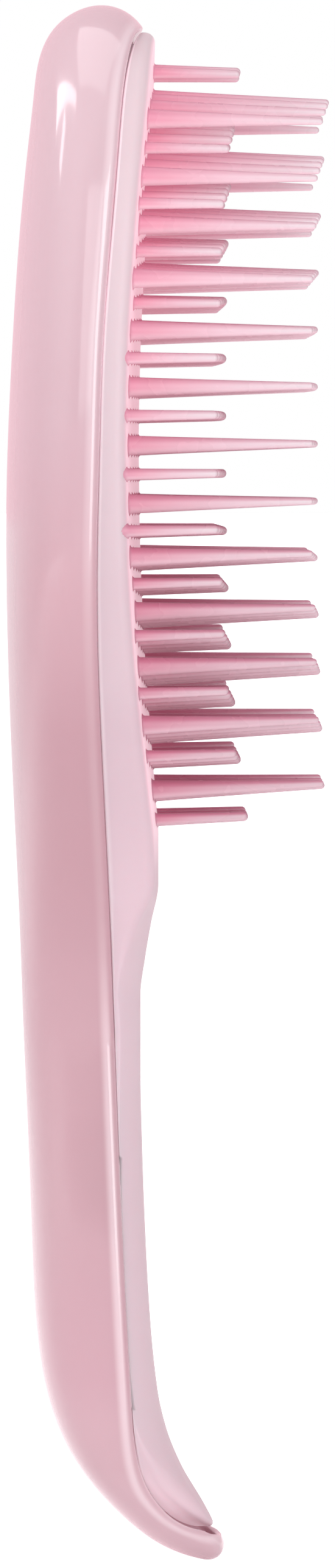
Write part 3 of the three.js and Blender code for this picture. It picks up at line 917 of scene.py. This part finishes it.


def shell_plastic():
    """Glossy pink with painted shade by height, a painted highlight along the roll and painted glow in
    the groove.
    """
    n = Nodes("shell_gloss")
    # Painted shade: the colour darkens down the head and turns paler again at the top and the tip.
    colour = n.ramp(n.height(TIP_Z * MM, HEAD_TOP_Z * MM), [
        (0.0, rgb(222, 186, 196)), (0.012, rgb(211, 171, 181)), (0.04, rgb(206, 160, 172)),
        (0.145, rgb(201, 158, 168)), (0.32, rgb(198, 152, 163)),
        (0.42, rgb(196, 148, 159)), (0.55, rgb(195, 147, 158)), (0.68, rgb(206, 160, 171)),
        (0.82, rgb(213, 177, 187)), (1.0, rgb(219, 187, 196)),
    ])
    cloud = n.ramp(n.noise(scale=28, detail=2), [(0.3, rgb(222, 160, 175)), (0.7, rgb(246, 212, 218))])
    clouded = n.mix(0.06, colour, cloud)
    # Painted highlight: the roll is mixed towards a pale colour, most on the upper head and the
    # handle.
    highlight_on_head = n.between(n.height(0.05, 0.1), 0.12, 0.52)
    highlight_on_handle = n.times(n.height(0.02, -0.01), 0.45)
    painted_roll_highlight = n.times(n.attribute("on_roll"), n.add_up(highlight_on_head, highlight_on_handle))
    # Painted glow: the groove by the seam gives off light, more towards the head's top.
    painted_groove_glow = n.between(n.height(*GLOW_HEIGHTS), 0.04, 0.22)
    n.set(
        Base_Color=n.mix(painted_roll_highlight, clouded, rgb(252, 230, 236)),
        Roughness=n.between(n.noise(scale=60, detail=4), 0.14, 0.2),
        Coat_Weight=1.0, Coat_Roughness=0.08, IOR=1.5,
        Subsurface_Weight=0.12, Subsurface_Radius=(1.0, 0.45, 0.5), Subsurface_Scale=0.002,
        Emission_Color=rgb(226, 188, 198),
        Emission_Strength=n.times(n.attribute("in_groove"), painted_groove_glow),
    )
    n.bump(n.noise(scale=700, detail=2), strength=0.03, distance=0.0001)
    return n.material


def insert_plastic():
    """Satin pink with painted light and shade: a pale line by the seam, a deeper bed under the teeth,
    a glowing end wall.
    """
    n = Nodes("insert_satin")
    # Painted shade: the side colour is darker about the lower head and paler towards both ends.
    side = n.ramp(n.height(TIP_Z * MM, HEAD_TOP_Z * MM), [
        (0.0, rgb(231, 204, 213)), (0.4, rgb(230, 202, 212)), (0.55, rgb(219, 192, 202)),
        (0.7, rgb(222, 199, 207)), (0.85, rgb(226, 204, 211)), (1.0, rgb(230, 208, 214)),
    ])
    share = n.attribute("front_share")
    groove = n.ramp(share, [(0.0, WHITE), (0.03, BLACK)])
    # Painted highlight: the shoulder mask puts a pale line next to the seam.
    shoulder = n.ramp(share, [(0.02, WHITE), (0.085, BLACK)])
    wall = n.ramp(share, [(0.3, WHITE), (0.9, BLACK)])
    front = n.ramp(share, [(0.86, BLACK), (0.97, WHITE)])
    # Painted glow on the end wall at the tip; painted shade: a deeper pink bed under the teeth.
    end_wall = n.times(n.height(-0.060, -0.069), wall)
    bed = n.times(front, n.height(0.022, 0.034))
    with_painted_line = n.mix(n.times(shoulder, 0.5), side, rgb(250, 230, 236))
    colour = n.mix(bed, with_painted_line, rgb(226, 188, 200))
    cloud = n.ramp(n.noise(scale=40, detail=3), [(0.3, rgb(224, 170, 186)), (0.7, rgb(244, 220, 226))])
    # Painted glow on the bed (more where it turns away), in the groove by the seam and on the end
    # wall.
    painted_bed_glow = n.times(n.times(bed, n.facing(0.5)), 0.55)
    painted_groove_glow = n.times(groove, n.between(n.height(*GLOW_HEIGHTS), 0.0, 0.22))
    painted_end_glow = n.times(end_wall, 0.4)
    n.set(
        Base_Color=n.mix(0.08, colour, cloud),
        Roughness=n.between(n.noise(scale=300, detail=3), 0.38, 0.5),
        IOR=1.48, Sheen_Weight=0.15, Sheen_Roughness=0.4,
        Subsurface_Weight=0.25, Subsurface_Radius=(1.0, 0.4, 0.5), Subsurface_Scale=0.003,
        Emission_Color=rgb(232, 206, 214),
        Emission_Strength=n.add_up(painted_bed_glow, painted_groove_glow, painted_end_glow),
    )
    n.bump(n.noise(scale=2600, detail=2), strength=0.08, distance=0.00005)
    return n.material


def tooth_plastic():
    """Soft pink with painted shade and light: deeper at the roots, darker on top and lower on the
    head, paler underneath.
    """
    n = Nodes("tooth_elastomer")
    rise = n.attribute("rise")
    # Painted shade: deeper pink towards the roots, paler to the tips.
    colour = n.ramp(rise, [
        (0.0, rgb(220, 156, 175)), (0.12, rgb(224, 166, 182)), (0.5, rgb(229, 198, 208)),
        (1.0, rgb(232, 218, 223)),
    ])
    # Painted shade darkens the teeth lower on the head and on faces that look up; painted light makes
    # the undersides paler.
    painted_shade_low_on_head = n.between(n.height(0.085, 0.045), 0.0, 0.35)
    shaded = n.mix(painted_shade_low_on_head, colour, rgb(186, 124, 144))
    top_depth = n.between(n.height(0.1, 0.06), 0.25, 0.75)
    painted_top_shade = n.mix(n.times(n.upward(-0.1, 0.75), top_depth), shaded, rgb(200, 112, 140))
    below = n.upward(-0.1, -0.85)
    painted_underside_light = n.mix(n.times(below, 0.6), painted_top_shade, rgb(236, 210, 218))
    # Painted glow: pink light at the roots, strongest high on the head, and pale light on the
    # undersides.
    painted_root_glow = n.ramp(rise, [(0.0, rgb(214, 110, 142)), (0.5, rgb(170, 95, 118)), (1.0, rgb(90, 60, 70))])
    painted_glow_strength = n.between(n.height(*GLOW_HEIGHTS), 0.05, 0.24)
    # Painted shade: darker pink at the outlines where the teeth turn away.
    n.set(
        Base_Color=n.mix(n.facing(0.35), painted_underside_light, rgb(176, 118, 137)),
        Roughness=n.between(n.noise(scale=200, detail=2), 0.22, 0.32),
        IOR=1.46, Subsurface_Weight=0.3, Subsurface_Radius=(1.0, 0.6, 0.7), Subsurface_Scale=0.0015,
        Emission_Color=n.mix(below, painted_root_glow, rgb(236, 200, 211)),
        Emission_Strength=n.add_up(painted_glow_strength, n.times(below, 0.1)),
    )
    n.bump(n.noise(scale=1500, detail=2), strength=0.05, distance=0.00004)
    return n.material


# ---- building the brush ----------------------------------------------------------------------

shell_rings, on_roll, in_groove = back_shell_rings()
shell = add_piece(
    "shell_of_back", shell_rings.reshape(-1, 3), ring_faces(*shell_rings.shape[:2]),
    shell_plastic(), {"on_roll": on_roll, "in_groove": in_groove},
)
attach(shell, "brush_body")
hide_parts("back_shell")

insert_rings, front_share = front_insert_rings()
insert = add_piece(
    "insert_of_front", insert_rings.reshape(-1, 3), ring_faces(*insert_rings.shape[:2]),
    insert_plastic(), {"front_share": front_share},
)
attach(insert, "brush_body")
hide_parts("front_insert")

pad = Pad(insert)
tooth_material = tooth_plastic()
for joint in frame["joints"]:
    body = joint["child"]
    node = frame["record"]["behaviour"]["bodies"][body][0]
    tier = TIERS["long" if node.startswith("long") else "short"]
    teeth, base = teeth_column(node, pad, tier, tooth_material)
    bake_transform(teeth)
    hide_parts(node)

# ---- stage, light and camera -----------------------------------------------------------------

low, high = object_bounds()
size = high - low
middle = (low + high) / 2


def add_object(name, data):
    made = bpy.data.objects.new(name, data)
    bpy.context.scene.collection.objects.link(made)
    return made


FLOOR_RADIUS = 40.0
FLOOR_GAP = 0.0005


def floor():
    """A wide disc just under the brush's tip, which the camera sees as plain white."""
    work = bmesh.new()
    bmesh.ops.create_circle(work, cap_ends=True, segments=96, radius=FLOOR_RADIUS)
    mesh = bpy.data.meshes.new("floor")
    work.to_mesh(mesh)
    work.free()
    n = Nodes("floor_paper")
    path = n.add("ShaderNodeLightPath")
    seen, mirrored = path.outputs["Is Camera Ray"], path.outputs["Is Glossy Ray"]
    n.set(
        Base_Color=(0.9, 0.9, 0.9),
        Roughness=n.between(n.noise(scale=3, detail=2), 0.8, 0.9),
        Emission_Color=n.mix(mirrored, WHITE, rgb(238, 196, 206)),
        Emission_Strength=n.add_up(seen, n.times(mirrored, 0.5)),
    )
    mesh.materials.append(n.material)
    disc = add_object("floor", mesh)
    disc.location = (0, 0, low.z - FLOOR_GAP)


def softbox(name, place, aim, width, height, power, tilt=0.0):
    """A rectangular light in metres and watts, turned about its own axis by the tilt."""
    light = bpy.data.lights.new(name, "AREA")
    light.shape = "RECTANGLE"
    light.size, light.size_y = width, height
    light.energy = power
    box = add_object(name, light)
    box.visible_camera = False
    box.location = place
    box.rotation_mode = "QUATERNION"
    facing = (Vector(aim) - Vector(place)).to_track_quat("-Z", "Y")
    box.rotation_quaternion = facing @ Quaternion((0, 0, 1), tilt)
    return box


def world():
    """White for the camera, soft grey as light, and mirrored as grey in front and pink behind."""
    made = bpy.data.worlds.new("studio")
    bpy.context.scene.world = made
    made.use_nodes = True
    n = Nodes.of_tree(made.node_tree)
    path = n.add("ShaderNodeLightPath")
    split = n.add("ShaderNodeSeparateXYZ")
    n.link(n.add("ShaderNodeTexCoord").outputs["Generated"], split.inputs["Vector"])
    behind = n.add("ShaderNodeMath", operation="MULTIPLY_ADD")
    n.link(split.outputs["Y"], behind.inputs[0])
    behind.inputs[1].default_value = behind.inputs[2].default_value = 0.5
    mirrored = n.ramp(behind.outputs["Value"], [
        (0.0, (0.4, 0.4, 0.4)), (0.075, (0.45, 0.44, 0.44)), (0.25, (0.85, 0.82, 0.83)),
        (0.5, (0.86, 0.76, 0.79)), (0.75, (0.88, 0.64, 0.7)), (1.0, (0.9, 0.6, 0.67)),
    ])
    soft_grey = (0.45, 0.45, 0.455)
    unseen = n.mix(path.outputs["Is Glossy Ray"], soft_grey, mirrored)
    seen = n.mix(path.outputs["Is Camera Ray"], unseen, WHITE)
    n.link(seen, made.node_tree.nodes["Background"].inputs["Color"])


CAMERA_DISTANCE = 1.5
CAMERA_HEIGHT_SHARE = 0.70        # the camera stands level with this share of the brush's height
FRAME_MARGIN = 1.009              # height of the picture as a multiple of the brush's height
SENSOR = 36.0
CLIP_NEAR = 0.05
CLIP_FAR = 200.0


def camera():
    data = bpy.data.cameras.new("camera")
    made = add_object("camera", data)
    made.location = (middle.x, low.y - CAMERA_DISTANCE, low.z + CAMERA_HEIGHT_SHARE * size.z)
    target = Vector((middle.x, 0, middle.z))
    away = target - made.location
    made.rotation_mode = "QUATERNION"
    made.rotation_quaternion = away.to_track_quat("-Z", "Y")
    data.sensor_width = SENSOR
    data.lens = SENSOR * away.length / (FRAME_MARGIN * size.z)
    data.clip_start, data.clip_end = CLIP_NEAR, CLIP_FAR
    bpy.context.scene.camera = made


floor()
world()
# Back of the head near its top, as shares of the brush's depth and height: the window shines there.
head = Vector((middle.x - 0.4 * size.x, 0, high.z - 0.08 * size.z))
window_place = head + Vector((-0.79, 0.22, 0.55))
sill_place = head + Vector((-0.87, 0.21, 0.41))
softbox("front", place=(-0.3, -1.7, 0.7), aim=middle, width=1.2, height=1.2, power=6.0)
softbox("window", place=window_place, aim=head, width=0.7, height=0.09, power=0.75, tilt=0.7)
softbox("window_sill", place=sill_place, aim=head, width=0.09, height=0.16, power=0.16)
softbox("side", place=(0.62, -1.0, 0.2), aim=middle, width=0.6, height=1.4, power=7.0)
left = softbox("left", place=(-1.35, -0.36, 0.4), aim=middle, width=1.0, height=1.6, power=8.5)
left.visible_glossy = False
softbox("top", place=(-0.2, 0.1, 1.2), aim=middle, width=0.9, height=0.9, power=2.5)
camera()
bpy.context.scene.view_settings.view_transform = "Standard"
